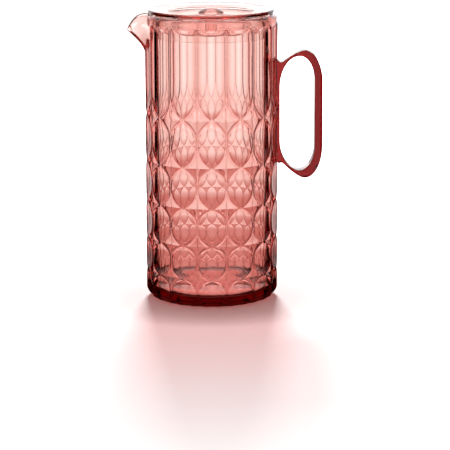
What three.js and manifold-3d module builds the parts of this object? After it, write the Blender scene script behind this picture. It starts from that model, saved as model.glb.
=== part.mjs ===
// Water carafe: a fluted transparent jug with a loop handle and a lift-off lid.
// Millimetres, +Z up. The origin is the centre of the flat base.
// The spout points to -X, the handle to +X, and a column of the relief faces -Y.
import * as THREE from 'three';
import { mergeVertices } from 'three/addons/utils/BufferGeometryUtils.js';
import Module from 'manifold-3d';

// Body wall
const RIDGE_RADIUS = 56.6;
const WALL_THICKNESS = 5;
const RIM_HEIGHT = 244.4;
const RIM_DROP = 0.8;
const RIM_ROUND = 2.2;
const MOUTH_ROUND = 0.5;
const FLOOR_THICKNESS = 8;
const BASE_FILLET = 8.5;
const CAVITY_FILLET = 6;

// Relief: ribs outline rows of pointed ovals under long flutes. The ovals and flutes are hollowed out
// between the ribs, and each four ovals leave a sunk star with four points.
const COLUMNS = 14;
const RIB_WIDTH = 2.4;
const FLUTE_DEPTH = 2.5;
const FLUTE_POINT_LENGTH = 22;
const STAR_DEPTH = 1.1;
const LOWEST_STAR = 25;
const FOOT_OVAL = { length: 27, depth: 1.6 };
const OVALS = [
  { length: 28.5, depth: 1.6 },
  { length: 32.5, depth: 1.6 },
  { length: 34.5, depth: 1.7 },
  { length: 40.5, depth: 2.2 },
];
const RIM_BAND = 6.4;
const RIB_RUN_OUT = 3;
const FLUTE_RUN_OUT = 16;

// Spout
const SPOUT_REACH = 14.5;
const SPOUT_LENGTH = 28.6;
const SPOUT_LIP = 3.8;
const SPOUT_DROP = 10.1;
const SPOUT_DROP_CURVE = 3.5;
const SPOUT_WALL = 3;
const SPOUT_NOSE = 0.12;
const SPOUT_FLARE = 1.5;
const SPOUT_SMOOTHING = 4;

// Lid
const LID_OVERHANG = 2;
const LID_TAPER = 0.8;
const LID_HEIGHT = 4.3;
const LID_WALL = 2.2;
const LID_EDGE_ROUND = 1;
const LID_SEAT_GAP = 0.3;
const SKIRT_CLEARANCE = 0.7;
const SKIRT_DEPTH = 18.7;
const RIM_FLAT = 1.4;
const SAUCER_DEPTH = 2.8;
const BOWL_RADIUS = 38.5;
const BOWL_DEPTH = 18;
const BOWL_FLOOR_RADIUS = 33;
const BOWL_FILLET = 9;

// Knob, a mushroom on a stem whose spigot sits in the floor of the lid's bowl
const KNOB_RADIUS = 10.9;
const KNOB_RISE = 1;
const KNOB_EDGE = 2;
const KNOB_CROWN = 3.6;
const STEM_RADIUS = 5.2;
const STEM_FILLET = 2;
const SPIGOT_RADIUS = 3;
const BOND_GAP = 0.3;

// Handle
const HANDLE_TOP = 214;
const HANDLE_BOTTOM = 103.5;
const TOP_ARM_THICKNESS = 5.2;
const BOTTOM_ARM_THICKNESS = 6.8;
const PAD_TOP = 207.5;
const PAD_BOTTOM = 114.6;
const TOP_ROOT_FILLET = 3.9;
const BOTTOM_ROOT_FILLET = 2;
const PAD_THICKNESS = 2;
const FINGER_GAP = 29.7;
const GRIP_THICKNESS = 7.1;
const CREST_INSET = 15.5;
const GRIP_BEND = 29.5;
const HOLE_ROOT_BEND = 26.6;
const HOLE_GRIP_BEND = 21.7;
const ARM_BEND = 5.8;
const ROOT_WIDTH = 14;
const GRIP_WIDTH = 18;
const GRIP_ROUND = 5;
const HANDLE_BEVEL = 0.9;

// Facet counts
const RINGS_PER_OVAL = 4;
const RINGS_PER_FLUTE_POINT = 3;
const RINGS_PER_FILLET = 2;
const RINGS_PER_SPOUT = 3;
const LID_STEPS = 48;
const KNOB_STEPS = 28;
const ARC_POINTS = 5;
const OUTLINE_POINTS = 9;

const CAVITY_RADIUS = RIDGE_RADIUS - WALL_THICKNESS;
const LID_RADIUS = CAVITY_RADIUS + LID_OVERHANG;
const HALF_PITCH = Math.PI / COLUMNS;
const HALF_COLUMN = RIDGE_RADIUS * HALF_PITCH;
const STAR_HEIGHTS = [LOWEST_STAR];
for (const oval of OVALS) STAR_HEIGHTS.push(STAR_HEIGHTS.at(-1) + oval.length);
const TOP_STAR = STAR_HEIGHTS.at(-1);
const RELIEF_TOP = RIM_HEIGHT - RIM_BAND;
const SPOUT_TOP = RIM_HEIGHT - SPOUT_LIP;
const SPOUT_START = SPOUT_TOP - SPOUT_LENGTH;
const STEPS_PER_COLUMN = columnOffsets({ inner: 0, outer: 1 }).length;
const EVEN = { inner: 0.5, outer: 0.75 };
const SLIVER = 0.02;

const wasm = await Module();
wasm.setup();

// Pieces are coloured as the clear coral plastic looks in each thickness
const coral = new THREE.MeshStandardMaterial({ color: 0xf2a59b, roughness: 0.06, metalness: 0 });
const paleCoral = new THREE.MeshStandardMaterial({ color: 0xf5b5aa, roughness: 0.06, metalness: 0 });
const deepRed = new THREE.MeshStandardMaterial({ color: 0xc8322b, roughness: 0.08, metalness: 0 });

function clamp01(value) {
  return Math.min(Math.max(value, 0), 1);
}

// Shared vertices are merged so that the surface is one closed sheet
function closed(geometry) {
  geometry.deleteAttribute('normal');
  geometry.deleteAttribute('uv');
  const merged = mergeVertices(geometry, 1e-4);
  const corners = merged.getIndex().array;
  const kept = [];
  for (let i = 0; i < corners.length; i += 3) {
    const [a, b, c] = corners.slice(i, i + 3);
    if (a !== b && b !== c && c !== a) kept.push(a, b, c);
  }
  merged.setIndex(kept);
  merged.computeVertexNormals();
  return merged;
}

function toSolid(geometry) {
  const sheet = closed(geometry);
  const vertProperties = new Float32Array(sheet.getAttribute('position').array);
  const triVerts = new Uint32Array(sheet.getIndex().array);
  return new wasm.Manifold(new wasm.Mesh({ numProp: 3, vertProperties, triVerts }));
}

function toGeometry(solid) {
  const mesh = solid.getMesh();
  const geometry = new THREE.BufferGeometry();
  geometry.setAttribute('position', new THREE.BufferAttribute(mesh.vertProperties, 3));
  geometry.setIndex(new THREE.BufferAttribute(mesh.triVerts, 1));
  geometry.computeVertexNormals();
  return geometry;
}

function named(name, geometry, material) {
  const mesh = new THREE.Mesh(geometry, material);
  mesh.name = name;
  return mesh;
}

// Where one height lies in the relief: the inner and outer edge of the rib beside the oval or flute,
// in half columns from its middle, how deep the oval or flute is there, and how steep the star.
// The rib follows an arc of a circle from the widest part of the oval to its point.
function patternAt(height) {
  let half = FLUTE_POINT_LENGTH;
  let depth = FLUTE_DEPTH;
  let along = Math.max(TOP_STAR + half - height, 0);
  if (height < TOP_STAR) {
    const row = STAR_HEIGHTS.findIndex((level) => height < level);
    const oval = row === 0 ? FOOT_OVAL : OVALS[row - 1];
    half = oval.length / 2;
    depth = oval.depth;
    along = Math.abs(height - STAR_HEIGHTS[row] + half);
  }
  const arc = (half ** 2 + HALF_COLUMN ** 2) / (2 * HALF_COLUMN);
  const centre = arc - HALF_COLUMN;
  const innerArc = arc - RIB_WIDTH / 2;
  const outerArc = arc + RIB_WIDTH / 2;
  const tip = Math.sqrt(innerArc ** 2 - centre ** 2);
  const edge = (radius, at) => (Math.sqrt(Math.max(radius ** 2 - at ** 2, 0)) - centre) / HALF_COLUMN;
  return {
    inner: Math.max(edge(innerArc, along), SLIVER),
    outer: Math.min(edge(outerArc, along), 1 - SLIVER),
    dish: depth * Math.max(1 - (along / tip) ** 2, 0),
    starSlope: STAR_DEPTH / (1 - edge(outerArc, half)),
  };
}

// How far a point on the wall belongs to the spout, from 0 to 1, by its angle from the spout's middle
function spoutShareAt(angle) {
  const off = Math.abs(Math.atan2(-Math.sin(angle), -Math.cos(angle))) / HALF_PITCH;
  const blunt = Math.hypot(off, SPOUT_NOSE) - SPOUT_NOSE;
  return clamp01(1 - blunt / (Math.hypot(1, SPOUT_NOSE) - SPOUT_NOSE));
}

function spoutRiseAt(height) {
  return clamp01((height - SPOUT_START) / SPOUT_LENGTH);
}

function filletInset(height) {
  const below = clamp01(1 - height / BASE_FILLET);
  return BASE_FILLET * (1 - Math.sqrt(1 - below ** 2));
}

// Lines that run up one column, in half columns from its middle: the middle and flank of the oval or
// flute, the two edges of its rib, and the middle of the stars beside it
function columnOffsets({ inner, outer }) {
  const half = [inner / 2, inner, outer];
  return [0, ...half, 1, ...half.reverse().map((offset) => 2 - offset)];
}

function lineOffset(line, pattern) {
  const column = Math.floor(line / STEPS_PER_COLUMN);
  return column * 2 + columnOffsets(pattern)[line % STEPS_PER_COLUMN];
}

// Depth of the relief below the ribs. Towards the rim the flutes run out softly, and the ribs in a
// round end, to the plain rim band.
function reliefDepth(offset, height, pattern) {
  if (height >= RELIEF_TOP) return RIM_DROP;
  const across = Math.abs(offset - 2 * Math.round(offset / 2));
  const below = RELIEF_TOP - height;
  const ribTop = RIM_DROP * (1 - Math.sqrt(1 - (1 - clamp01(below / RIB_RUN_OUT)) ** 2));
  if (across < pattern.inner) {
    const hollow = pattern.dish * (1 - (across / pattern.inner) ** 2);
    const runOut = THREE.MathUtils.smoothstep(below, 0, FLUTE_RUN_OUT);
    return RIM_DROP + (hollow - RIM_DROP) * runOut;
  }
  return Math.max(ribTop, pattern.starSlope * (across - pattern.outer));
}

function spread(from, to, count) {
  return Array.from({ length: count }, (_, i) => from + (to - from) * (i + 1) / count);
}

function outerHeights() {
  const footOval = spread(BASE_FILLET, LOWEST_STAR, RINGS_PER_OVAL - 1);
  const ovals = OVALS.flatMap((_, i) => spread(STAR_HEIGHTS[i], STAR_HEIGHTS[i + 1], RINGS_PER_OVAL));
  const points = spread(TOP_STAR, TOP_STAR + FLUTE_POINT_LENGTH, RINGS_PER_FLUTE_POINT);
  const ribTop = RELIEF_TOP - RIB_RUN_OUT;
  const flutes = spread(SPOUT_START, ribTop, RINGS_PER_SPOUT);
  const runOut = spread(ribTop, RELIEF_TOP, 2);
  return [...footOval, ...ovals, ...points, SPOUT_START, ...flutes, ...runOut, SPOUT_TOP];
}

// Rings of the body from the middle of the base, up the outside, over the rim and down the cavity.
// With no cavity the rings close over the rim, and stand out from the wall by a gap.
function bodyRings(hollow) {
  const rings = [{ height: 0, axis: true }, { height: 0, outside: true }];
  for (const share of spread(0, 1, RINGS_PER_FILLET)) {
    rings.push({ height: BASE_FILLET * (1 - Math.cos(share * Math.PI / 2)), outside: true });
  }
  for (const height of outerHeights()) rings.push({ height, outside: true });
  rings.push({ height: RIM_HEIGHT - RIM_ROUND, outside: true });
  if (!hollow) {
    rings.push({ height: RIM_HEIGHT, outside: true }, { height: RIM_HEIGHT, axis: true });
    return rings;
  }
  const round = RIM_ROUND * (1 - Math.SQRT1_2);
  rings.push({ height: RIM_HEIGHT - round, outside: true, inset: round });
  rings.push({ height: RIM_HEIGHT, outside: true, inset: RIM_ROUND });
  rings.push({ height: RIM_HEIGHT, radius: CAVITY_RADIUS + MOUTH_ROUND });
  rings.push({ height: RIM_HEIGHT - MOUTH_ROUND, radius: CAVITY_RADIUS });
  for (const height of [SPOUT_TOP, ...spread(SPOUT_TOP, SPOUT_START, RINGS_PER_SPOUT)]) {
    rings.push({ height, radius: CAVITY_RADIUS });
  }
  const filletTop = FLOOR_THICKNESS + CAVITY_FILLET;
  rings.push({ height: filletTop, radius: CAVITY_RADIUS });
  for (const share of spread(0, 1, RINGS_PER_FILLET)) {
    const turn = share * Math.PI / 2;
    rings.push({
      height: filletTop - CAVITY_FILLET * Math.sin(turn),
      radius: CAVITY_RADIUS - CAVITY_FILLET * (1 - Math.cos(turn)),
    });
  }
  rings.push({ height: FLOOR_THICKNESS, axis: true });
  return rings;
}

// One point of the body: the plain ring, pressed into the relief and drawn out to the spout
function bodyPoint(ring, line, standOff) {
  const inRelief = ring.outside && ring.height < RELIEF_TOP;
  const pattern = inRelief ? patternAt(ring.height) : EVEN;
  const offset = lineOffset(line, pattern);
  const angle = offset * HALF_PITCH - Math.PI / 2;
  if (ring.axis) return new THREE.Vector3(0, 0, ring.height);
  const rise = spoutRiseAt(ring.height) ** SPOUT_FLARE;
  const share = spoutShareAt(angle);
  let radius = ring.radius;
  let reach = SPOUT_REACH + RIDGE_RADIUS - SPOUT_WALL - CAVITY_RADIUS;
  if (ring.outside) {
    const kept = 1 - share * clamp01(rise * SPOUT_SMOOTHING);
    const relief = reliefDepth(offset, ring.height, pattern) * kept;
    radius = RIDGE_RADIUS - relief - filletInset(ring.height) - (ring.inset ?? 0) + standOff;
    reach = SPOUT_REACH;
  }
  radius += reach * share * rise;
  const drop = SPOUT_DROP * share ** SPOUT_DROP_CURVE * spoutRiseAt(ring.height);
  return new THREE.Vector3(radius * Math.cos(angle), radius * Math.sin(angle), ring.height - drop);
}

function bodyGeometry(hollow, standOff) {
  const rings = bodyRings(hollow);
  const lines = COLUMNS * STEPS_PER_COLUMN;
  const profile = rings.map((ring) => new THREE.Vector2(ring.axis ? 0 : CAVITY_RADIUS, ring.height));
  const geometry = new THREE.LatheGeometry(profile, lines);
  const position = geometry.getAttribute('position');
  for (let line = 0; line <= lines; line += 1) {
    rings.forEach((ring, i) => {
      const point = bodyPoint(ring, line % lines, standOff);
      position.setXYZ(line * rings.length + i, point.x, point.y, point.z);
    });
  }
  return geometry;
}

// Points of a quarter ellipse between two corners of its box, with the start left out
function quarter(centre, from, to) {
  return spread(0, Math.PI / 2, ARC_POINTS).map((turn) => new THREE.Vector2(
    centre.x + from.x * Math.cos(turn) + to.x * Math.sin(turn),
    centre.y + from.y * Math.cos(turn) + to.y * Math.sin(turn),
  ));
}

// Points along a path, each apart from the one before it
function distinctPoints(path) {
  const points = path.getPoints(OUTLINE_POINTS);
  return points.filter((point, i) => point.distanceTo(points.at(i - 1)) > 1e-3);
}

// Turned piece from a profile of radius and height
function turned(profile, steps) {
  const geometry = new THREE.LatheGeometry(profile, steps);
  geometry.rotateX(Math.PI / 2);
  return closed(geometry);
}

const lidTop = RIM_HEIGHT + LID_SEAT_GAP + LID_HEIGHT;
const bowlFloor = lidTop - BOWL_DEPTH;
const bowlUnder = bowlFloor - LID_WALL;

// Lid: a saucer with a deep bowl in the middle, a flange on the body's rim and a skirt in the mouth
function lidGeometry() {
  const at = (radius, height) => new THREE.Vector2(radius, height);
  const seat = RIM_HEIGHT + LID_SEAT_GAP;
  const skirtRadius = CAVITY_RADIUS - SKIRT_CLEARANCE;
  const skirtInner = skirtRadius - LID_WALL;
  const skirtFoot = seat - SKIRT_DEPTH;
  const edgeRadius = LID_RADIUS - LID_EDGE_ROUND;
  const saucerEdge = edgeRadius - RIM_FLAT;
  const bowlLip = lidTop - SAUCER_DEPTH;
  const slope = SAUCER_DEPTH / (saucerEdge - BOWL_RADIUS);
  const underAt = (radius) => bowlLip - LID_WALL + (radius - BOWL_RADIUS) * slope;
  const hole = SPIGOT_RADIUS + BOND_GAP;
  const bowlOuter = BOWL_RADIUS + LID_WALL;
  const floorFlat = BOWL_FLOOR_RADIUS - BOWL_FILLET;
  const underFillet = BOWL_FILLET + LID_WALL;
  const profile = [
    at(hole, bowlUnder),
    at(floorFlat, bowlUnder),
    ...quarter(at(floorFlat, bowlUnder + underFillet), at(0, -underFillet), at(underFillet, 0)),
    at(bowlOuter, underAt(bowlOuter)),
    at(skirtInner, underAt(skirtInner)),
    at(skirtInner, skirtFoot),
    at(skirtRadius, skirtFoot),
    at(skirtRadius, seat),
    at(LID_RADIUS - LID_TAPER, seat),
    at(LID_RADIUS, lidTop - LID_EDGE_ROUND),
    ...quarter(at(edgeRadius, lidTop - LID_EDGE_ROUND), at(LID_EDGE_ROUND, 0), at(0, LID_EDGE_ROUND)),
    at(saucerEdge, lidTop),
    at(BOWL_RADIUS, bowlLip),
    at(BOWL_FLOOR_RADIUS, bowlFloor + BOWL_FILLET),
    ...quarter(at(floorFlat, bowlFloor + BOWL_FILLET), at(BOWL_FILLET, 0), at(0, -BOWL_FILLET)),
    at(hole, bowlFloor),
    at(hole, bowlUnder),
  ];
  return turned(profile, LID_STEPS);
}

function knobGeometry() {
  const at = (radius, height) => new THREE.Vector2(radius, height);
  const top = lidTop + KNOB_RISE;
  const shoulder = bowlFloor + BOND_GAP;
  const half = KNOB_EDGE / 2;
  const brim = top - KNOB_CROWN - half;
  const rim = KNOB_RADIUS - half;
  const under = brim - half - STEM_FILLET;
  const profile = [
    at(0, bowlUnder),
    at(SPIGOT_RADIUS, bowlUnder),
    at(SPIGOT_RADIUS, shoulder),
    at(STEM_RADIUS, shoulder),
    at(STEM_RADIUS, under),
    ...quarter(at(STEM_RADIUS + STEM_FILLET, under), at(-STEM_FILLET, 0), at(0, STEM_FILLET)),
    at(rim, brim - half),
    ...quarter(at(rim, brim), at(0, -half), at(half, 0)),
    ...quarter(at(0, brim), at(KNOB_RADIUS, 0), at(0, top - brim)),
  ];
  return turned(profile, KNOB_STEPS);
}

const padFace = RIDGE_RADIUS + PAD_THICKNESS;
const gripInner = padFace + FINGER_GAP;
const gripOuter = gripInner + GRIP_THICKNESS;
const crestRadius = gripOuter - CREST_INSET;

// Side view of the handle, x out from the axis and y up: a loop with a thick grip and slim arms,
// whose root runs out along the wall in a fillet above and below
function handleOutline() {
  const buried = CAVITY_RADIUS;
  const padRoot = padFace - PAD_THICKNESS;
  const armRoot = padFace + PAD_THICKNESS;
  const rootTop = PAD_TOP - TOP_ROOT_FILLET;
  const rootBottom = PAD_BOTTOM + BOTTOM_ROOT_FILLET;
  const shape = new THREE.Shape();
  shape.moveTo(buried, PAD_BOTTOM);
  shape.lineTo(padRoot, PAD_BOTTOM);
  shape.quadraticCurveTo(padRoot, rootBottom, armRoot, rootBottom);
  shape.quadraticCurveTo(crestRadius - ARM_BEND, HANDLE_BOTTOM, crestRadius, HANDLE_BOTTOM);
  shape.absellipse(crestRadius, HANDLE_BOTTOM + GRIP_BEND, CREST_INSET, GRIP_BEND, -Math.PI / 2, 0);
  shape.absellipse(crestRadius, HANDLE_TOP - GRIP_BEND, CREST_INSET, GRIP_BEND, 0, Math.PI / 2);
  shape.quadraticCurveTo(crestRadius - ARM_BEND, HANDLE_TOP, armRoot, rootTop);
  shape.quadraticCurveTo(padRoot, rootTop, padRoot, PAD_TOP);
  shape.lineTo(buried, PAD_TOP);
  const outline = new THREE.Shape(distinctPoints(shape));
  outline.holes.push(new THREE.Path(distinctPoints(fingerHole())));
  return outline;
}

function fingerHole() {
  const top = HANDLE_TOP - TOP_ARM_THICKNESS;
  const bottom = HANDLE_BOTTOM + BOTTOM_ARM_THICKNESS;
  const crest = crestRadius - (CREST_INSET - GRIP_THICKNESS) / 2;
  const rootSide = crest - padFace;
  const gripSide = gripInner - crest;
  const hole = new THREE.Path();
  hole.moveTo(crest, top);
  hole.absellipse(crest, top - HOLE_ROOT_BEND, rootSide, HOLE_ROOT_BEND, Math.PI / 2, Math.PI);
  hole.absellipse(crest, bottom + HOLE_ROOT_BEND, rootSide, HOLE_ROOT_BEND, Math.PI, Math.PI * 1.5);
  hole.absellipse(crest, bottom + HOLE_GRIP_BEND, gripSide, HOLE_GRIP_BEND, -Math.PI / 2, 0);
  hole.absellipse(crest, top - HOLE_GRIP_BEND, gripSide, HOLE_GRIP_BEND, 0, Math.PI / 2);
  return hole;
}

// Top view of the handle, x out from the axis: it widens from the root to a rounded grip
function handlePlan() {
  const buried = CAVITY_RADIUS;
  const half = GRIP_WIDTH / 2;
  const flat = half - GRIP_ROUND;
  const widest = gripOuter - GRIP_ROUND;
  const shape = new THREE.Shape();
  shape.moveTo(buried, -ROOT_WIDTH / 2);
  shape.lineTo(padFace, -ROOT_WIDTH / 2);
  shape.quadraticCurveTo(gripInner, -ROOT_WIDTH / 2, widest, -half);
  shape.absellipse(widest, -flat, GRIP_ROUND, GRIP_ROUND, -Math.PI / 2, 0);
  shape.absellipse(widest, flat, GRIP_ROUND, GRIP_ROUND, 0, Math.PI / 2);
  shape.quadraticCurveTo(gripInner, ROOT_WIDTH / 2, padFace, ROOT_WIDTH / 2);
  shape.lineTo(buried, ROOT_WIDTH / 2);
  return new THREE.Shape(distinctPoints(shape));
}

// The handle is the side view and the top view cut through each other, seated on the wall's relief
function handleGeometry() {
  const side = new THREE.ExtrudeGeometry(handleOutline(), {
    depth: GRIP_WIDTH - 2 * HANDLE_BEVEL,
    bevelThickness: HANDLE_BEVEL,
    bevelSize: HANDLE_BEVEL,
    bevelOffset: -HANDLE_BEVEL,
    bevelSegments: 2,
  });
  side.translate(0, 0, HANDLE_BEVEL - GRIP_WIDTH / 2);
  side.rotateX(Math.PI / 2);
  const plan = new THREE.ExtrudeGeometry(handlePlan(), {
    depth: RIM_HEIGHT,
    bevelEnabled: false,
  });
  const wall = toSolid(bodyGeometry(false, BOND_GAP));
  return toGeometry(toSolid(side).intersect(toSolid(plan)).subtract(wall));
}

const body = new THREE.Group();
body.add(named('carafe_body', closed(bodyGeometry(true, 0)), coral));
body.add(named('handle', handleGeometry(), deepRed));

const lid = new THREE.Group();
lid.add(named('lid', lidGeometry(), paleCoral));
lid.add(named('lid_knob', knobGeometry(), paleCoral));

const carafe = new THREE.Group();
carafe.add(body, lid);

export default carafe;
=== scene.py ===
import math

import bmesh
import bpy
from mathutils import Matrix, Vector


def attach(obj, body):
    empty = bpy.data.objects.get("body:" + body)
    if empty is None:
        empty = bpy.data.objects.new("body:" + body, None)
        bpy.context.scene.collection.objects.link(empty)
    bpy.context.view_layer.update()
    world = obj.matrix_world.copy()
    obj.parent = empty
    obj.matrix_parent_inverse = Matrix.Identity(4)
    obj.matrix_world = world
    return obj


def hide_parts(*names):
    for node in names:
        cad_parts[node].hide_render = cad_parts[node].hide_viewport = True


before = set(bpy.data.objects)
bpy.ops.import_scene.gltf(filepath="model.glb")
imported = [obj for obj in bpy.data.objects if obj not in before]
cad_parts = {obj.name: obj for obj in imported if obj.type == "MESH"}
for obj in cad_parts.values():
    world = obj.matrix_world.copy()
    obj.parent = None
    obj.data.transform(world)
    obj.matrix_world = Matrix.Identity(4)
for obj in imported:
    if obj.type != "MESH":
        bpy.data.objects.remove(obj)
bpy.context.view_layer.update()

MM = 0.001

# Body wall, millimetres as in the CAD model
RIDGE_RADIUS = 56.6
WALL_THICKNESS = 5.0
RIM_HEIGHT = 244.4
RIM_DROP = 0.8
RIM_ROUND = 2.2
MOUTH_ROUND = 0.5
FLOOR_THICKNESS = 8.0
BASE_FILLET = 8.5
CAVITY_FILLET = 6.0

# Relief, with rounder ribs than in the CAD model; ovals by length and depth, from the lowest row up
COLUMNS = 14
RIB_WIDTH = 2.8
RIB_CROWN = 0.55
FLUTE_DEPTH = 2.5
FLUTE_POINT_LENGTH = 22.0
STAR_DEPTH = 0.9
LOWEST_STAR = 25.0
FOOT_OVAL = (27.0, 1.6)
OVALS = [(28.5, 1.6), (32.5, 1.6), (34.5, 1.7), (40.5, 2.2)]
RIM_BAND = 6.4
RIB_RUN_OUT = 3.0
FLUTE_RUN_OUT = 6.0

# Spout
SPOUT_REACH = 14.5
SPOUT_LENGTH = 28.6
SPOUT_LIP = 3.8
SPOUT_DROP = 10.1
SPOUT_DROP_CURVE = 3.5
SPOUT_WALL = 3.0
SPOUT_NOSE = 0.12
SPOUT_FLARE = 1.5
SPOUT_SMOOTHING = 4.0

# Lid
LID_OVERHANG = 2.0
LID_TAPER = 0.8
LID_HEIGHT = 4.3
LID_WALL = 2.2
LID_EDGE_ROUND = 1.0
LID_SEAT_GAP = 0.3
SKIRT_CLEARANCE = 0.7
SKIRT_DEPTH = 18.7
RIM_FLAT = 1.4
SAUCER_DEPTH = 2.8
BOWL_RADIUS = 38.5
BOWL_DEPTH = 18.0
BOWL_FLOOR_RADIUS = 33.0
BOWL_FILLET = 9.0

# Knob
KNOB_RADIUS = 10.9
KNOB_RISE = 1.0
KNOB_EDGE = 2.0
KNOB_CROWN = 3.6
STEM_RADIUS = 5.2
STEM_FILLET = 2.0
SPIGOT_RADIUS = 3.0
BOND_GAP = 0.3

# Handle
HANDLE_TOP = 214.0
HANDLE_BOTTOM = 103.5
TOP_ARM_THICKNESS = 5.2
BOTTOM_ARM_THICKNESS = 6.8
PAD_TOP = 207.5
PAD_BOTTOM = 114.6
TOP_ROOT_FILLET = 3.9
BOTTOM_ROOT_FILLET = 2.0
PAD_THICKNESS = 2.0
FINGER_GAP = 29.7
GRIP_THICKNESS = 7.1
CREST_INSET = 15.5
GRIP_BEND = 29.5
HOLE_ROOT_BEND = 26.6
HOLE_GRIP_BEND = 21.7
ARM_BEND = 5.8
ROOT_WIDTH = 14.0
GRIP_WIDTH = 18.0
GRIP_ROUND = 5.0
HANDLE_BEVEL = 1.2

# Mesh steps across one column of the relief
DISH_STEPS = 5
RIB_STEPS = 6
STAR_STEPS = 3

# Mesh steps up the outside of the body and down its inside
BASE_FILLET_STEPS = 10
FOOT_STEPS = 16
OVAL_STEPS = 28
POINT_STEPS = 18
FLUTE_STEPS = 8
SPOUT_STEPS = 14
RUN_OUT_STEPS = 5
RIM_STEPS = 6
MOUTH_STEPS = 3
CAVITY_STEPS = 12
CAVITY_FILLET_STEPS = 8

# Mesh steps of the other pieces
LID_STEPS = 160
EDGE_STEPS = 6
KNOB_STEPS = 96
CROWN_STEPS = 20
HANDLE_STEPS = 200
CURVE_STEPS = 24
BEVEL_STEPS = 4
WALL_PASSES = 4
SIDE_SHARES = (0.0, 0.35, 0.7, 1.0)
FLANK_SHARES = (0.15, 0.3, 0.45, 0.6, 0.75, 0.88, 1.0)
# Largest bevel, as a share of the handle's thickness
BEVEL_LIMIT = 0.45
# Cosine below which a ray from the middle of the loop runs towards the wall
WALL_SIDE = -0.05
# Least width of a strip of the relief's mesh, in half columns
SLIVER = 0.02

# Angles in degrees from which an edge is crisp
RELIEF_SHARP = 15
BODY_SHARP = 30
HANDLE_SHARP = 40
LID_SHARP = 20
KNOB_SHARP = 30

CAVITY_RADIUS = RIDGE_RADIUS - WALL_THICKNESS
HALF_PITCH = math.pi / COLUMNS
HALF_COLUMN = RIDGE_RADIUS * HALF_PITCH
STAR_HEIGHTS = [LOWEST_STAR]
for oval_length, _ in OVALS:
    STAR_HEIGHTS.append(STAR_HEIGHTS[-1] + oval_length)
TOP_STAR = STAR_HEIGHTS[-1]
RELIEF_TOP = RIM_HEIGHT - RIM_BAND
SPOUT_TOP = RIM_HEIGHT - SPOUT_LIP
SPOUT_START = SPOUT_TOP - SPOUT_LENGTH
LID_TOP = RIM_HEIGHT + LID_SEAT_GAP + LID_HEIGHT
BOWL_FLOOR = LID_TOP - BOWL_DEPTH
BOWL_UNDER = BOWL_FLOOR - LID_WALL
PAD_FACE = RIDGE_RADIUS + PAD_THICKNESS
GRIP_INNER = PAD_FACE + FINGER_GAP
GRIP_OUTER = GRIP_INNER + GRIP_THICKNESS
CREST_RADIUS = GRIP_OUTER - CREST_INSET

# Bounds of the relief, with a little room, within which its edges are crisp
RELIEF_FOOT = BASE_FILLET * 0.9
RELIEF_END = RELIEF_TOP + 0.1
RELIEF_INSIDE = CAVITY_RADIUS + 0.5


def clamp01(value):
    return min(max(value, 0.0), 1.0)


def smooth01(value):
    value = clamp01(value)
    return value * value * (3 - 2 * value)


def spread(start, end, count):
    """Evenly spaced values after start, up to and with end."""
    return [start + (end - start) * (i + 1) / count for i in range(count)]


def quarter(centre, start, end, count=8):
    """Points of a quarter ellipse between two corners of its box, with the start left out."""
    return [
        (
            centre[0] + start[0] * math.cos(turn) + end[0] * math.sin(turn),
            centre[1] + start[1] * math.cos(turn) + end[1] * math.sin(turn),
        )
        for turn in spread(0, math.pi / 2, count)
    ]


def bend(start, control, end, count=12):
    """Points of a quadratic curve, with the start left out."""
    return [
        tuple(
            (1 - t) ** 2 * a + 2 * t * (1 - t) * b + t ** 2 * c
            for a, b, c in zip(start, control, end)
        )
        for t in spread(0, 1, count)
    ]


# Relief

def pattern_at(height):
    """Edges of the rib beside the oval or flute in half columns, its depth and the star's slope."""
    half, depth = FLUTE_POINT_LENGTH, FLUTE_DEPTH
    along = max(TOP_STAR + half - height, 0.0)
    if height < TOP_STAR:
        row = next(i for i, level in enumerate(STAR_HEIGHTS) if height < level)
        length, depth = FOOT_OVAL if row == 0 else OVALS[row - 1]
        half = length / 2
        along = abs(height - STAR_HEIGHTS[row] + half)
    arc = (half ** 2 + HALF_COLUMN ** 2) / (2 * HALF_COLUMN)
    centre = arc - HALF_COLUMN
    inner_arc = arc - RIB_WIDTH / 2
    outer_arc = arc + RIB_WIDTH / 2

    def edge(radius, at):
        return (math.sqrt(max(radius ** 2 - at ** 2, 0.0)) - centre) / HALF_COLUMN

    tip = math.sqrt(inner_arc ** 2 - centre ** 2)
    inner = max(edge(inner_arc, along), SLIVER)
    outer = min(edge(outer_arc, along), 1 - SLIVER)
    dish = depth * max(1 - (along / tip) ** 2, 0.0)
    return inner, outer, dish, STAR_DEPTH / (1 - edge(outer_arc, half))


def relief_depth(across, height, pattern):
    """Depth below the ribs; towards the rim flutes and ribs run out to the plain band."""
    if height >= RELIEF_TOP:
        return RIM_DROP
    inner, outer, dish, star_slope = pattern
    below = RELIEF_TOP - height
    run_out = smooth01(below / FLUTE_RUN_OUT)
    if across < inner:
        hollow = RIB_CROWN + dish * (1 - (across / inner) ** 2)
        return RIM_DROP + (hollow - RIM_DROP) * run_out
    rib_end = 1 - clamp01(below / RIB_RUN_OUT)
    rib_top = RIM_DROP * (1 - math.sqrt(1 - rib_end ** 2))
    if across < outer:
        bead = (2 * across - inner - outer) / (outer - inner)
        return max(rib_top, RIB_CROWN * bead ** 2 * run_out)
    return max(rib_top, RIB_CROWN * run_out + star_slope * (across - outer))


def spout_share(angle):
    off = abs(math.atan2(-math.sin(angle), -math.cos(angle))) / HALF_PITCH
    blunt = math.hypot(off, SPOUT_NOSE) - SPOUT_NOSE
    return clamp01(1 - blunt / (math.hypot(1, SPOUT_NOSE) - SPOUT_NOSE))


def fillet_inset(height):
    below = clamp01(1 - height / BASE_FILLET)
    return BASE_FILLET * (1 - math.sqrt(1 - below ** 2))


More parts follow.
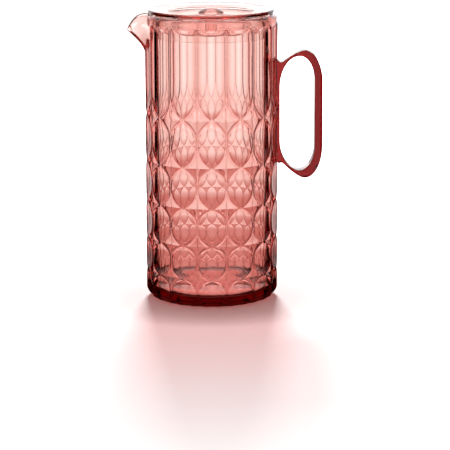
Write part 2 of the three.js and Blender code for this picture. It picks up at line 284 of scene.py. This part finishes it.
def wall_radius(angle, height):
    """Outside of the wall away from the spout."""
    offset = (angle + math.pi / 2) / HALF_PITCH
    across = abs(offset - 2 * round(offset / 2))
    return RIDGE_RADIUS - relief_depth(across, height, pattern_at(height)) - fillet_inset(height)


# Body

def column_offsets(inner, outer):
    """Lines that run up one column, in half columns from the middle of its ovals."""
    half = [inner * i / DISH_STEPS for i in range(DISH_STEPS)]
    half += [inner + (outer - inner) * i / RIB_STEPS for i in range(RIB_STEPS)]
    half += [outer + (1 - outer) * i / STAR_STEPS for i in range(STAR_STEPS)]
    return half + [1.0] + [2 - value for value in reversed(half[1:])]


def outer_heights():
    """Heights of the rings on the outside, above the flat base and below the rounded rim."""
    fillet_shares = spread(0, 1, BASE_FILLET_STEPS)
    point_end = TOP_STAR + FLUTE_POINT_LENGTH
    rib_end = RELIEF_TOP - RIB_RUN_OUT
    heights = [BASE_FILLET * (1 - math.cos(share * math.pi / 2)) for share in fillet_shares]
    heights += spread(BASE_FILLET, LOWEST_STAR, FOOT_STEPS)
    for low, high in zip(STAR_HEIGHTS, STAR_HEIGHTS[1:]):
        heights += spread(low, high, OVAL_STEPS)
    heights += spread(TOP_STAR, point_end, POINT_STEPS)
    heights += spread(point_end, SPOUT_START, FLUTE_STEPS)
    heights += spread(SPOUT_START, rib_end, SPOUT_STEPS)
    heights += spread(rib_end, RELIEF_TOP, RUN_OUT_STEPS)
    return heights + [SPOUT_TOP, RIM_HEIGHT - RIM_ROUND]


def body_rings():
    """Height, cavity radius or None outside, and inset of each ring, over the rim and down."""
    rings = [(height, None, 0.0) for height in [0.0] + outer_heights()]
    for turn in spread(0, math.pi / 2, RIM_STEPS):
        drop = RIM_ROUND * (1 - math.sin(turn))
        rings.append((RIM_HEIGHT - drop, None, RIM_ROUND * (1 - math.cos(turn))))
    for turn in [0.0] + spread(0, math.pi / 2, MOUTH_STEPS):
        drop = MOUTH_ROUND * (1 - math.cos(turn))
        rings.append((RIM_HEIGHT - drop, CAVITY_RADIUS + MOUTH_ROUND * (1 - math.sin(turn)), 0.0))
    fillet_top = FLOOR_THICKNESS + CAVITY_FILLET
    heights = [SPOUT_TOP] + spread(SPOUT_TOP, SPOUT_START, SPOUT_STEPS)
    heights += spread(SPOUT_START, fillet_top, CAVITY_STEPS)
    rings += [(height, CAVITY_RADIUS, 0.0) for height in heights]
    for turn in spread(0, math.pi / 2, CAVITY_FILLET_STEPS):
        drop = CAVITY_FILLET * math.sin(turn)
        rings.append((fillet_top - drop, CAVITY_RADIUS - CAVITY_FILLET * (1 - math.cos(turn)), 0.0))
    return rings


def body_ring(height, cavity, inset):
    """Points of one ring, pressed into the relief and drawn out to the spout."""
    outside = cavity is None
    in_relief = outside and height < RELIEF_TOP
    pattern = pattern_at(height if in_relief else RELIEF_TOP)
    rise = clamp01((height - SPOUT_START) / SPOUT_LENGTH)
    flare = rise ** SPOUT_FLARE
    offsets = column_offsets(pattern[0], pattern[1])
    ring = []
    for column in range(COLUMNS):
        for offset in offsets:
            angle = (2 * column + offset) * HALF_PITCH - math.pi / 2
            share = spout_share(angle)
            if outside:
                depth = relief_depth(min(offset, 2 - offset), height, pattern)
                depth *= 1 - share * clamp01(flare * SPOUT_SMOOTHING)
                radius = RIDGE_RADIUS - depth - fillet_inset(height) - inset
                reach = SPOUT_REACH
            else:
                radius = cavity
                reach = SPOUT_REACH + WALL_THICKNESS - SPOUT_WALL
            radius += reach * share * flare
            drop = SPOUT_DROP * share ** SPOUT_DROP_CURVE * rise
            ring.append((radius * math.cos(angle), radius * math.sin(angle), height - drop))
    return ring


def body_grid():
    rings = [[(0.0, 0.0, 0.0)]]
    rings += [body_ring(*ring) for ring in body_rings()]
    return rings + [[(0.0, 0.0, FLOOR_THICKNESS)]]


# Lid and knob

def lid_profile():
    seat = RIM_HEIGHT + LID_SEAT_GAP
    lid_radius = CAVITY_RADIUS + LID_OVERHANG
    skirt_radius = CAVITY_RADIUS - SKIRT_CLEARANCE
    skirt_inner = skirt_radius - LID_WALL
    skirt_foot = seat - SKIRT_DEPTH
    edge_radius = lid_radius - LID_EDGE_ROUND
    edge_height = LID_TOP - LID_EDGE_ROUND
    saucer_edge = edge_radius - RIM_FLAT
    lip = LID_TOP - SAUCER_DEPTH
    slope = SAUCER_DEPTH / (saucer_edge - BOWL_RADIUS)
    hole = SPIGOT_RADIUS + BOND_GAP
    bowl_outer = BOWL_RADIUS + LID_WALL
    floor_flat = BOWL_FLOOR_RADIUS - BOWL_FILLET
    under_fillet = BOWL_FILLET + LID_WALL
    return [
        (hole, BOWL_UNDER),
        (floor_flat, BOWL_UNDER),
        *quarter((floor_flat, BOWL_UNDER + under_fillet), (0, -under_fillet), (under_fillet, 0)),
        (bowl_outer, lip - LID_WALL + LID_WALL * slope),
        (skirt_inner, lip - LID_WALL + (skirt_inner - BOWL_RADIUS) * slope),
        (skirt_inner, skirt_foot),
        (skirt_radius, skirt_foot),
        (skirt_radius, seat),
        (lid_radius - LID_TAPER, seat),
        (lid_radius, edge_height),
        *quarter((edge_radius, edge_height), (LID_EDGE_ROUND, 0), (0, LID_EDGE_ROUND), EDGE_STEPS),
        (saucer_edge, LID_TOP),
        (BOWL_RADIUS, lip),
        (BOWL_FLOOR_RADIUS, BOWL_FLOOR + BOWL_FILLET),
        *quarter((floor_flat, BOWL_FLOOR + BOWL_FILLET), (BOWL_FILLET, 0), (0, -BOWL_FILLET)),
        (hole, BOWL_FLOOR),
    ]


def knob_profile():
    top = LID_TOP + KNOB_RISE
    shoulder = BOWL_FLOOR + BOND_GAP
    half = KNOB_EDGE / 2
    brim = top - KNOB_CROWN - half
    rim = KNOB_RADIUS - half
    under = brim - half - STEM_FILLET
    return [
        (0, BOWL_UNDER),
        (SPIGOT_RADIUS, BOWL_UNDER),
        (SPIGOT_RADIUS, shoulder),
        (STEM_RADIUS, shoulder),
        (STEM_RADIUS, under),
        *quarter((STEM_RADIUS + STEM_FILLET, under), (-STEM_FILLET, 0), (0, STEM_FILLET)),
        (rim, brim - half),
        *quarter((rim, brim), (0, -half), (half, 0)),
        *quarter((0, brim), (KNOB_RADIUS, 0), (0, top - brim), CROWN_STEPS)[:-1],
        (0, top),
    ]


def turned(profile, steps):
    """Rings of a turned piece, one for each point of its profile."""
    rings = []
    for radius, height in profile:
        angles = [2 * math.pi * i / steps for i in range(steps if radius else 1)]
        rings.append([(radius * math.cos(a), radius * math.sin(a), height) for a in angles])
    return rings


# Handle

def handle_outline():
    """Outer edge of the handle's side view, from the bottom of its pad round the grip to the top."""
    pad_root = PAD_FACE - PAD_THICKNESS
    arm_root = PAD_FACE + PAD_THICKNESS
    root_top = PAD_TOP - TOP_ROOT_FILLET
    root_bottom = PAD_BOTTOM + BOTTOM_ROOT_FILLET
    low, high = HANDLE_BOTTOM + GRIP_BEND, HANDLE_TOP - GRIP_BEND
    foot, crest = (CREST_RADIUS, HANDLE_BOTTOM), (CREST_RADIUS, HANDLE_TOP)
    return [
        (CAVITY_RADIUS, PAD_BOTTOM),
        (pad_root, PAD_BOTTOM),
        *bend((pad_root, PAD_BOTTOM), (pad_root, root_bottom), (arm_root, root_bottom)),
        *bend((arm_root, root_bottom), (CREST_RADIUS - ARM_BEND, HANDLE_BOTTOM), foot),
        *quarter((CREST_RADIUS, low), (0, -GRIP_BEND), (CREST_INSET, 0), CURVE_STEPS),
        *quarter((CREST_RADIUS, high), (CREST_INSET, 0), (0, GRIP_BEND), CURVE_STEPS),
        *bend(crest, (CREST_RADIUS - ARM_BEND, HANDLE_TOP), (arm_root, root_top)),
        *bend((arm_root, root_top), (pad_root, root_top), (pad_root, PAD_TOP)),
        (CAVITY_RADIUS, PAD_TOP),
    ]


def finger_hole():
    top = HANDLE_TOP - TOP_ARM_THICKNESS
    bottom = HANDLE_BOTTOM + BOTTOM_ARM_THICKNESS
    crest = CREST_RADIUS - (CREST_INSET - GRIP_THICKNESS) / 2
    root_side, grip_side = crest - PAD_FACE, GRIP_INNER - crest
    return [
        *quarter((crest, top - HOLE_ROOT_BEND), (0, HOLE_ROOT_BEND), (-root_side, 0), CURVE_STEPS),
        *quarter((crest, bottom + HOLE_ROOT_BEND), (-root_side, 0), (0, -HOLE_ROOT_BEND), CURVE_STEPS),
        *quarter((crest, bottom + HOLE_GRIP_BEND), (0, -HOLE_GRIP_BEND), (grip_side, 0), CURVE_STEPS),
        *quarter((crest, top - HOLE_GRIP_BEND), (grip_side, 0), (0, HOLE_GRIP_BEND), CURVE_STEPS),
    ]


def reach_along(outline, centre, angle):
    """How far a ray from the centre goes to a closed outline."""
    ray = Vector((math.cos(angle), math.sin(angle)))
    for start, end in zip(outline, outline[1:] + outline[:1]):
        a, b = Vector(start) - centre, Vector(end) - centre
        side_a, side_b = ray.cross(a), ray.cross(b)
        if side_a * side_b <= 0 and side_a != side_b:
            hit = a.lerp(b, side_a / (side_a - side_b))
            if hit.dot(ray) > 0:
                return hit.dot(ray)
    raise ValueError("the ray misses the outline")


def half_width(x):
    """Half the handle's width seen from above: wider towards the grip, with a rounded outside."""
    widest = GRIP_OUTER - GRIP_ROUND
    share = clamp01((x - PAD_FACE) / (widest - PAD_FACE))
    width = (ROOT_WIDTH + (GRIP_WIDTH - ROOT_WIDTH) * share ** 2) / 2
    past = clamp01((x - widest) / GRIP_ROUND)
    return width - GRIP_ROUND * (1 - math.sqrt(1 - past ** 2))


def wall_reach(centre, angle, side):
    """How far a ray goes to the relief of the wall, with the gap of the bond line."""
    reach = (RIDGE_RADIUS - centre.x) / math.cos(angle)
    for _ in range(WALL_PASSES):
        height = centre.y + reach * math.sin(angle)
        x = centre.x + reach * math.cos(angle)
        radius = wall_radius(math.atan2(side, x), height) + BOND_GAP
        reach = (math.sqrt(radius ** 2 - side ** 2) - centre.x) / math.cos(angle)
    return reach


def section_shares():
    """Half section of the loop, as shares of its thickness, its width and the bevel at its corners."""
    turns = spread(0, math.pi / 2, BEVEL_STEPS)
    hole_side = [(0.0, share, 0.0, -1.0) for share in SIDE_SHARES]
    hole_bevel = [(0.0, 1.0, 1 - math.cos(t), math.sin(t) - 1) for t in turns]
    flank = [(share, 1.0, 1 - 2 * share, 0.0) for share in FLANK_SHARES]
    outer_bevel = [(1.0, 1.0, math.sin(t) - 1, math.cos(t) - 1) for t in turns]
    outer_side = [(1.0, share, 0.0, -1.0) for share in reversed(SIDE_SHARES[:-1])]
    return hole_side + hole_bevel + flank + outer_bevel + outer_side


def handle_ring(outline, hole, centre, angle):
    """One section of the loop, cut off by the wall on the body's side."""
    start = reach_along(hole, centre, angle)
    outer = reach_along(outline, centre, angle)
    halves = []
    for deep, wide, bevel_deep, bevel_wide in section_shares():
        side = wide * ROOT_WIDTH / 2
        end = outer
        if math.cos(angle) < WALL_SIDE:
            end = min(outer, wall_reach(centre, angle, side))
        bevel = min(HANDLE_BEVEL, BEVEL_LIMIT * (end - start))
        reach = start + (end - start) * deep + bevel * bevel_deep
        x = centre.x + reach * math.cos(angle)
        side = wide * (half_width(x) + bevel * bevel_wide)
        halves.append((x, side, centre.y + reach * math.sin(angle)))
    mirrored = [(x, -y, z) for x, y, z in reversed(halves[1:-1])]
    return halves + mirrored


def handle_grid():
    centre = Vector((CREST_RADIUS - GRIP_THICKNESS, (HANDLE_TOP + HANDLE_BOTTOM) / 2))
    outline, hole = handle_outline(), finger_hole()
    angles = [2 * math.pi * i / HANDLE_STEPS for i in range(HANDLE_STEPS)]
    return [handle_ring(outline, hole, centre, angle) for angle in angles]


# Objects

def bridge(grid, closed):
    """Points and faces of a skin over rings of points; a ring of one point is a pole."""
    points, rings = [], []
    for ring in grid:
        rings.append(range(len(points), len(points) + len(ring)))
        points += ring
    faces = []
    for low, high in zip(rings, rings[1:] + rings[:1] if closed else rings[1:]):
        count = max(len(low), len(high))
        for i in range(count):
            j = (i + 1) % count
            corners = (low[i % len(low)], low[j % len(low)], high[j % len(high)], high[i % len(high)])
            faces.append(tuple(dict.fromkeys(corners)))
    return points, faces


def add_piece(name, grid, closed, material, sharp_degrees):
    points, faces = bridge(grid, closed)
    mesh = bpy.data.meshes.new(name)
    mesh.from_pydata([Vector(point) * MM for point in points], [], faces)
    work = bmesh.new()
    work.from_mesh(mesh)
    bmesh.ops.recalc_face_normals(work, faces=work.faces)
    for face in work.faces:
        face.smooth = True
    for edge in work.edges:
        edge.smooth = edge.calc_face_angle(0.0) < math.radians(sharp_degrees(edge))
    work.to_mesh(mesh)
    work.free()
    mesh.materials.append(material)
    piece = bpy.data.objects.new(name, mesh)
    bpy.context.scene.collection.objects.link(piece)
    return piece


def relief_sharpness(edge):
    """Edges of the relief are crisp, and those of the fillets and the cavity soft."""
    low = min(vert.co.z for vert in edge.verts)
    high = max(vert.co.z for vert in edge.verts)
    radius = min(vert.co.xy.length for vert in edge.verts)
    on_relief = low > RELIEF_FOOT * MM and high < RELIEF_END * MM
    return RELIEF_SHARP if on_relief and radius > RELIEF_INSIDE * MM else BODY_SHARP


# Materials

PLASTIC_IOR = 1.49
FLOW_SCALE = 45.0
FLOW_DETAIL = 2.0
ROUGHEST = 0.006
BASE_SHADES = ((0.97, 0.94, 0.93, 1), (1, 1, 1, 1))
RIPPLE_STRENGTH = 0.1
RIPPLE_HEIGHT = 0.0001
# What each plastic lets through, and how strongly it absorbs the rest
CORAL_TINT, CORAL_DENSITY = (0.793, 0.126, 0.037), 135
PALE_TINT, PALE_DENSITY = (0.78, 0.22, 0.11), 45
RED_TINT, RED_DENSITY = (0.76, 0.05, 0.025), 400


def clear_plastic(name, tint, density):
    """Polished clear plastic, coloured by what its thickness absorbs."""
    material = bpy.data.materials.new(name)
    material.use_nodes = True
    nodes = material.node_tree.nodes
    links = material.node_tree.links
    shader = nodes["Principled BSDF"]
    shader.inputs["IOR"].default_value = PLASTIC_IOR
    shader.inputs["Transmission Weight"].default_value = 1.0
    place = nodes.new("ShaderNodeTexCoord")
    flow = nodes.new("ShaderNodeTexNoise")
    flow.inputs["Scale"].default_value = FLOW_SCALE
    flow.inputs["Detail"].default_value = FLOW_DETAIL
    links.new(place.outputs["Object"], flow.inputs["Vector"])
    polish = nodes.new("ShaderNodeMapRange")
    polish.inputs["To Min"].default_value = 0.0
    polish.inputs["To Max"].default_value = ROUGHEST
    links.new(flow.outputs["Fac"], polish.inputs["Value"])
    links.new(polish.outputs["Result"], shader.inputs["Roughness"])
    shade = nodes.new("ShaderNodeValToRGB")
    shade.color_ramp.elements[0].color, shade.color_ramp.elements[1].color = BASE_SHADES
    links.new(flow.outputs["Fac"], shade.inputs["Fac"])
    links.new(shade.outputs["Color"], shader.inputs["Base Color"])
    ripple = nodes.new("ShaderNodeBump")
    ripple.inputs["Strength"].default_value = RIPPLE_STRENGTH
    ripple.inputs["Distance"].default_value = RIPPLE_HEIGHT
    links.new(flow.outputs["Fac"], ripple.inputs["Height"])
    links.new(ripple.outputs["Normal"], shader.inputs["Normal"])
    volume = nodes.new("ShaderNodeVolumeAbsorption")
    volume.inputs["Color"].default_value = (*tint, 1)
    volume.inputs["Density"].default_value = density
    links.new(volume.outputs["Volume"], nodes["Material Output"].inputs["Volume"])
    return material


coral = clear_plastic("coral_plastic", CORAL_TINT, CORAL_DENSITY)
pale = clear_plastic("pale_plastic", PALE_TINT, PALE_DENSITY)
red = clear_plastic("red_plastic", RED_TINT, RED_DENSITY)

lid_grid = turned(lid_profile(), LID_STEPS)
knob_grid = turned(knob_profile(), KNOB_STEPS)
# Name, rings, whether the rings close, material and sharpness; then body, CAD node and slot
PIECES = [
    ("carafe_body_fine", body_grid(), False, coral, relief_sharpness,
     "carafe", "carafe_body", "body_plastic"),
    ("handle_fine", handle_grid(), True, red, lambda edge: HANDLE_SHARP,
     "carafe", "handle", "handle_plastic"),
    ("lid_fine", lid_grid, True, pale, lambda edge: LID_SHARP,
     "lid", "lid", "lid_plastic"),
    ("knob_fine", knob_grid, False, pale, lambda edge: KNOB_SHARP,
     "lid", "lid_knob", "knob_plastic"),
]
for name, grid, closed, material, sharpness, body, node, slot in PIECES:
    piece = add_piece(name, grid, closed, material, sharpness)
    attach(piece, body)
    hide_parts(node)


# Stage

FLOOR_SIZE = 6.0
FLOOR_Z = -0.0002
FLOOR_COLOR = (0.8, 0.8, 0.8, 1)
# Distances from the axis between which the floor's painted shadow fades to white, and its colours on that
# way: a painted contact shadow at the base, then painted coral light in the lamp's shadow
PAINTED_SHADOW_START, PAINTED_SHADOW_END = 0.05, 0.7
PAINTED_SHADOW_STOPS = [
    (0.0, (0.2, 0.05, 0.045, 1)),
    (0.03, (0.66, 0.37, 0.36, 1)),
    (0.4, (0.72, 0.58, 0.57, 1)),
    (1.0, (1, 1, 1, 1)),
]
# Floor seen through the plastic: its level, and its colours by distance as a share of GLASS_END, with
# painted shade: a dark painted contact-shadow ring round the base and painted coral shade near the
# object, brighter further off
GLASS_LEVEL, GLASS_END = 1.42, 0.8
GLASS_PAINTED_SHADE_STOPS = [
    (0.048, (0.55, 0.3, 0.28, 1)),
    (0.058, (0.03, 0.006, 0.005, 1)),
    (0.072, (0.03, 0.006, 0.005, 1)),
    (0.085, (0.61, 0.34, 0.31, 1)),
    (0.36, (0.61, 0.34, 0.31, 1)),
    (0.55, (0.72, 0.55, 0.52, 1)),
    (0.85, (0.93, 1, 0.97, 1)),
]
# Reflected floor, with painted shade: its brightness near and far, dark near the object and brighter
# further off, and the distances between which it grows
GLOSS_PAINTED_SHADE = (0.02, 0.65, 0.1, 0.4)
# Surroundings: brightness behind the object, low and high above it with the heights between, and plain
SKY_BACK = 1.9
SKY_HIGH = (0.1, 3.2, 0.4, 0.95)
SKY_LIGHT = 0.2
# Softbox behind the object, which lights the floor and casts the shadow
BACKLIGHT_PLACE = (0, 1.45, 0.88)
BACKLIGHT_AIM = (0, 0, 0.1)
BACKLIGHT_SIZE = (0.4, 0.5)
BACKLIGHT_WATTS = 52
# Cosines of the turn from straight behind the object: the bright back ends and the front begins; in the
# plastic the floor between them is painted dark, as by black flags
BACK_EDGE = (0.616, 0.695)
FRONT_EDGE = (0.07, -0.1)
GLOSSY_FRONT_SHIFT = 0.32


class Nodes:
    """Short ways to add and join the nodes of one tree."""

    def __init__(self, tree):
        self.tree = tree

    def add(self, kind, *sources, **settings):
        node = self.tree.nodes.new("ShaderNode" + kind)
        for key, value in settings.items():
            setattr(node, key, value)
        for socket, source in zip(node.inputs, sources):
            if isinstance(source, bpy.types.NodeSocket):
                self.tree.links.new(source, socket)
            elif source is not None:
                socket.default_value = source
        return node

    def math(self, operation, *sources):
        return self.add("Math", *sources, operation=operation).outputs[0]

    def steps(self, value, low, high, start, end):
        node = self.add("MapRange", value, start, end, low, high, interpolation_type="SMOOTHSTEP")
        return node.outputs[0]

    def ramp(self, value, stops):
        """Colour at a value from 0 to 1, between stops in rising order."""
        node = self.add("ValToRGB", value)
        elements = node.color_ramp.elements
        elements[0].position, elements[0].color = stops[0]
        elements[1].position, elements[1].color = stops[-1]
        for position, color in stops[1:-1]:
            elements.new(position).color = color
        return node.outputs[0]

    def vector(self, operation, *sources):
        return self.add("VectorMath", *sources, operation=operation)

    def cos_turn(self, place):
        """Cosine of the turn of a place or direction from straight behind the object."""
        flat = self.vector("MULTIPLY", place, (1, 1, 0)).outputs[0]
        level = self.vector("NORMALIZE", flat).outputs[0]
        return self.add("SeparateXYZ", level).outputs["Y"]


def floor_material():
    """White floor with painted coral light in the lamp's shadow and a painted contact shadow at the base;
    in the plastic it shows painted shade near the object and both sides painted dark, as by black flags.
    """
    material = bpy.data.materials.new("floor_white")
    material.use_nodes = True
    tree = material.node_tree
    tree.nodes.remove(tree.nodes["Principled BSDF"])
    nodes = Nodes(tree)
    place = nodes.add("NewGeometry").outputs["Position"]
    path = nodes.add("LightPath").outputs
    away = nodes.vector("LENGTH", place).outputs["Value"]
    turn = nodes.cos_turn(place)
    back = nodes.steps(turn, 0.0, 1.0, *BACK_EDGE)
    reflected = nodes.math("LESS_THAN", path["Is Transmission Ray"], path["Is Glossy Ray"])
    shifted = nodes.math("MULTIPLY_ADD", reflected, GLOSSY_FRONT_SHIFT, turn)
    front = nodes.steps(shifted, 0.0, 1.0, *FRONT_EDGE)
    # Outside these turns the plastic sees the floor painted dark, as by black flags
    open_side = nodes.math("MAXIMUM", back, front)
    # Painted shade on the floor as seen reflected in the plastic
    reflected_painted_shade_level = nodes.math("MULTIPLY", nodes.steps(away, *GLOSS_PAINTED_SHADE), open_side)
    reflected_painted_shade = nodes.add("Emission", None, reflected_painted_shade_level).outputs[0]
    # Painted shade on the floor as seen through the plastic, darkest in a ring round the base
    near = nodes.ramp(nodes.math("DIVIDE", away, GLASS_END), GLASS_PAINTED_SHADE_STOPS)
    glass_light = nodes.math("MULTIPLY", open_side, GLASS_LEVEL)
    through = nodes.add("Emission", near, glass_light).outputs[0]
    # Painted shadow: a camera-ray glow, dark and coral near the object, white further off
    shade = nodes.ramp(nodes.steps(away, 0.0, 1.0, PAINTED_SHADOW_START, PAINTED_SHADOW_END), PAINTED_SHADOW_STOPS)
    white_and_painted_shadow = nodes.add("Emission", shade, path["Is Camera Ray"]).outputs[0]
    diffuse = nodes.add("BsdfDiffuse", FLOOR_COLOR).outputs[0]
    lit = nodes.add("AddShader", diffuse, white_and_painted_shadow).outputs[0]
    mirrored = nodes.add("MixShader", reflected, lit, reflected_painted_shade).outputs[0]
    seen = nodes.add("MixShader", path["Is Transmission Ray"], mirrored, through).outputs[0]
    tree.links.new(seen, tree.nodes["Material Output"].inputs["Surface"])
    return material


def add_floor(size):
    mesh = bpy.data.meshes.new("floor")
    sides = [(-1, -1), (1, -1), (1, 1), (-1, 1)]
    corners = [(x * size, y * size, FLOOR_Z) for x, y in sides]
    mesh.from_pydata(corners, [], [(0, 1, 2, 3)])
    mesh.materials.append(floor_material())
    floor = bpy.data.objects.new("floor", mesh)
    bpy.context.scene.collection.objects.link(floor)


def add_softbox(name, place, aim, size, watts):
    data = bpy.data.lights.new(name, "AREA")
    data.shape = "RECTANGLE"
    data.size, data.size_y = size
    data.energy = watts
    lamp = bpy.data.objects.new(name, data)
    lamp.location = place
    lamp.rotation_euler = (Vector(aim) - Vector(place)).to_track_quat("-Z", "Y").to_euler()
    bpy.context.scene.collection.objects.link(lamp)
    return lamp


def add_world():
    """Soft white surroundings, brightest behind the object and above it."""
    world = bpy.data.worlds.new("studio")
    bpy.context.scene.world = world
    world.use_nodes = True
    nodes = Nodes(world.node_tree)
    direction = nodes.add("TexCoord").outputs["Generated"]
    path = nodes.add("LightPath").outputs
    back = nodes.steps(nodes.cos_turn(direction), 0.0, SKY_BACK, *BACK_EDGE)
    high = nodes.steps(nodes.add("SeparateXYZ", direction).outputs["Z"], *SKY_HIGH)
    through = nodes.math("MAXIMUM", path["Is Transmission Ray"], path["Is Glossy Ray"])
    glass_level = nodes.math("MULTIPLY", nodes.math("MAXIMUM", back, high), through)
    plain_level = nodes.math("MAXIMUM", path["Is Camera Ray"], SKY_LIGHT)
    background = world.node_tree.nodes["Background"]
    background.inputs["Color"].default_value = (1, 1, 1, 1)
    strength = nodes.math("MAXIMUM", glass_level, plain_level)
    world.node_tree.links.new(strength, background.inputs["Strength"])


add_floor(FLOOR_SIZE)
add_world()
backlight = add_softbox("softbox_back", BACKLIGHT_PLACE, BACKLIGHT_AIM, BACKLIGHT_SIZE, BACKLIGHT_WATTS)
backlight.visible_glossy = False
backlight.visible_transmission = False

# Camera, at the photograph's viewing angle
CAMERA_DISTANCE = 1.85
CAMERA_HEIGHT = 0.4552
CAMERA_PITCH = math.radians(12.032)
CAMERA_YAW = math.radians(0.354)
CAMERA_ROLL = math.radians(-0.157)
CAMERA_ORBIT = math.radians(0.24)
FOCAL_PIXELS = 2180.9
PHOTO_PIXELS = 450
SENSOR_WIDTH = 36.0
CLIP_END = 50
LIGHT_BOUNCES = 32
MIRROR_BOUNCES = 16
camera_data = bpy.data.cameras.new("camera")
camera_data.sensor_width = SENSOR_WIDTH
camera_data.lens = FOCAL_PIXELS / PHOTO_PIXELS * SENSOR_WIDTH
camera_data.clip_end = CLIP_END
camera = bpy.data.objects.new("camera", camera_data)
bpy.context.scene.collection.objects.link(camera)
aim = Matrix.Rotation(-CAMERA_YAW, 4, "Z") @ Matrix.Rotation(math.pi / 2 - CAMERA_PITCH, 4, "X")
stand = Matrix.Translation((0, -CAMERA_DISTANCE, CAMERA_HEIGHT))
orbit = Matrix.Rotation(-CAMERA_ORBIT, 4, "Z")
camera.matrix_world = orbit @ stand @ aim @ Matrix.Rotation(CAMERA_ROLL, 4, "Z")
bpy.context.scene.camera = camera

bpy.context.scene.view_settings.view_transform = "Standard"
bpy.context.scene.cycles.max_bounces = LIGHT_BOUNCES
bpy.context.scene.cycles.transmission_bounces = LIGHT_BOUNCES
bpy.context.scene.cycles.glossy_bounces = MIRROR_BOUNCES
